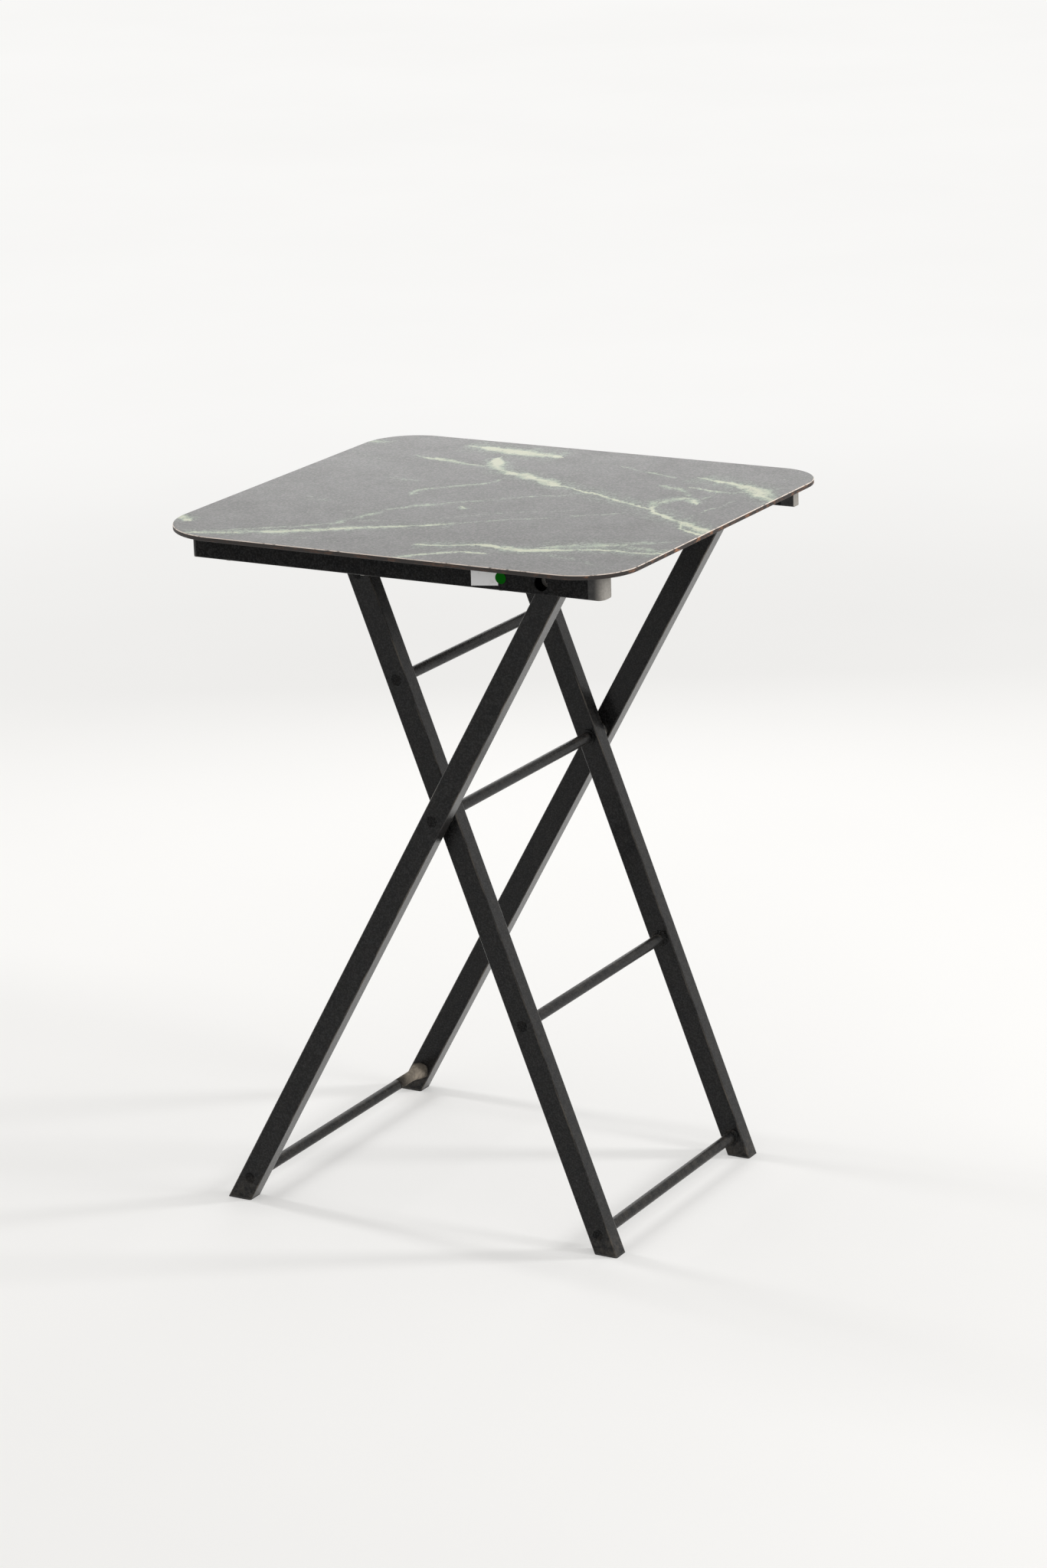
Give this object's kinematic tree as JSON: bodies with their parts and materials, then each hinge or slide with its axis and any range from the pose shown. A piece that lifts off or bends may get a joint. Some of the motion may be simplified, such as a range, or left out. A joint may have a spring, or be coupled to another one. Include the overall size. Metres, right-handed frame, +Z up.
{
  "type": "folding table",
  "caption": "Small folding table with a rounded laminate top on two rails, a scissor of two tube leg frames joined by round rungs, and hooks that hold the open frame.",
  "frame": {"origin": "on the floor under the middle of the top", "axes": "+Z up; X along the two rails, with the top's hinge on the +X side; +Y from the front rail to the rear rail"},
  "size_m": [0.54, 0.495, 0.75],
  "materials": {
    "laminate": "satin laminate with a veined green and grey stone print, dark core at the edge",
    "powder_coat": "satin black powder coat, lightly worn",
    "black_plastic": "moulded black plastic",
    "zinc_steel": "dull zinc plated steel"
  },
  "bodies": {
    "outer_frame": {"outer_bottom_rung": "powder_coat", "outer_foot_plug_front": "black_plastic", "outer_foot_plug_rear": "black_plastic", "outer_leg_front": "powder_coat", "outer_leg_rear": "powder_coat", "outer_top_plug_front": "black_plastic", "outer_top_plug_rear": "black_plastic", "pivot_keepers": "zinc_steel", "pivot_shaft": "powder_coat", "pivot_spacers": "zinc_steel"},
    "inner_frame": {"catch_bar": "powder_coat", "inner_bottom_rung": "powder_coat", "inner_foot_plug_front": "black_plastic", "inner_foot_plug_rear": "black_plastic", "inner_leg_front": "powder_coat", "inner_leg_rear": "powder_coat", "inner_top_plug_front": "black_plastic", "inner_top_plug_rear": "black_plastic", "lower_rung": "powder_coat", "upper_rung": "powder_coat"},
    "tabletop": {"catch_hook_front": "powder_coat", "catch_hook_rear": "powder_coat", "hinge_bolts": "zinc_steel", "hinge_nuts": "zinc_steel", "hinge_sleeves": "zinc_steel", "rail_cap_front": "black_plastic", "rail_cap_rear": "black_plastic", "rail_front": "powder_coat", "rail_nose_front": "black_plastic", "rail_nose_rear": "black_plastic", "rail_rear": "powder_coat", "tabletop_panel": "laminate"}
  },
  "joints": [
    {"name": "scissor_fold", "type": "hinge", "parent": "outer_frame", "child": "inner_frame", "pos_m": [0.02472, 0, 0.458], "axis": [0, 1, 0], "range_deg": [0, 50.3]},
    {"name": "top_tilt", "type": "hinge", "parent": "outer_frame", "child": "tabletop", "pos_m": [0.18, 0, 0.7315], "axis": [0, 1, 0], "range_deg": [0, 117]}
  ]
}
